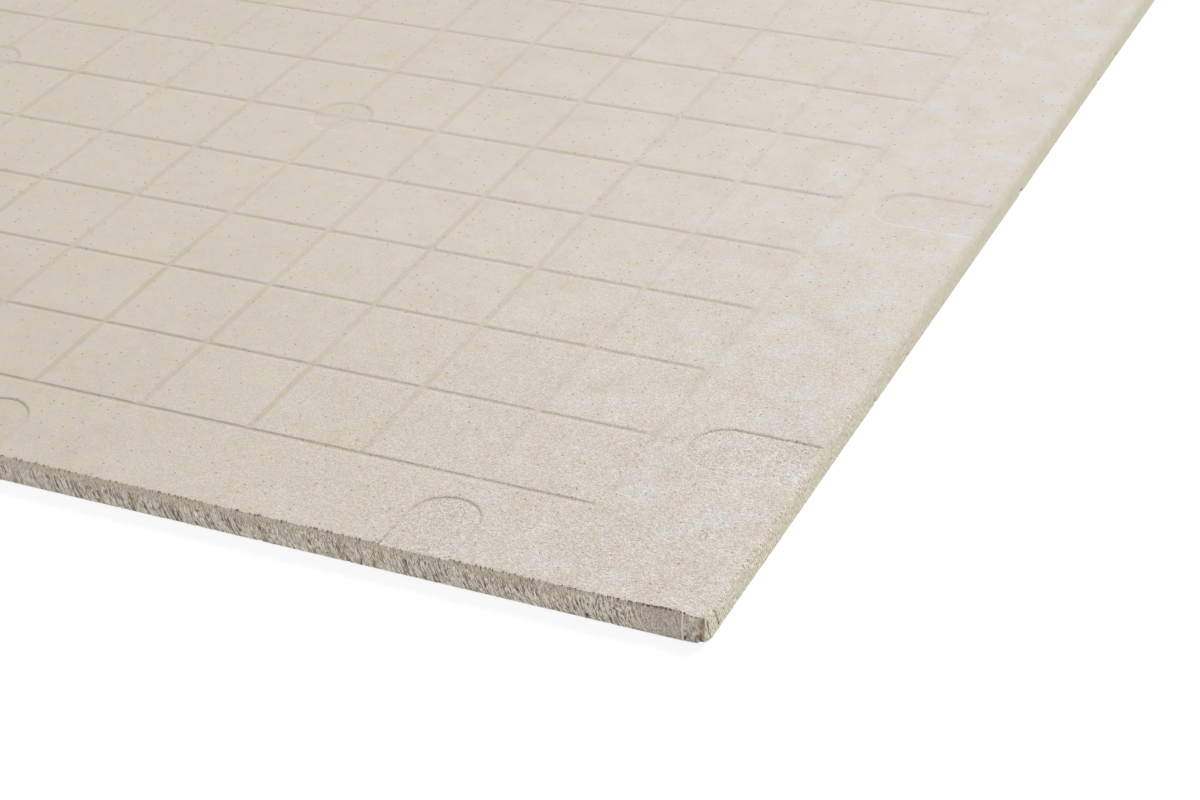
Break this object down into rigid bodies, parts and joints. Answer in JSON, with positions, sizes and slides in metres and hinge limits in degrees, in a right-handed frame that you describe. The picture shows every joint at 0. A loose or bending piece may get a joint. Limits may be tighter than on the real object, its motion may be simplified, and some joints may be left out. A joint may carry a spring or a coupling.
{
  "type": "fiber cement backer board",
  "caption": "Flat fiber cement backer board with a shallow square cutting grid and round fastener marks pressed into its face.",
  "frame": {"origin": "middle of the back, the plain side that lies on the floor", "axes": "+X along the length, towards the end where the grid starts; +Y across the width; +Z out of the embossed face"},
  "size_m": [1.524, 0.9144, 0.0107],
  "materials": {
    "fiber_cement": "matt, fine fibre grain, light warm grey"
  },
  "bodies": {
    "root": {"backer_board": "fiber_cement"}
  },
  "joints": []
}
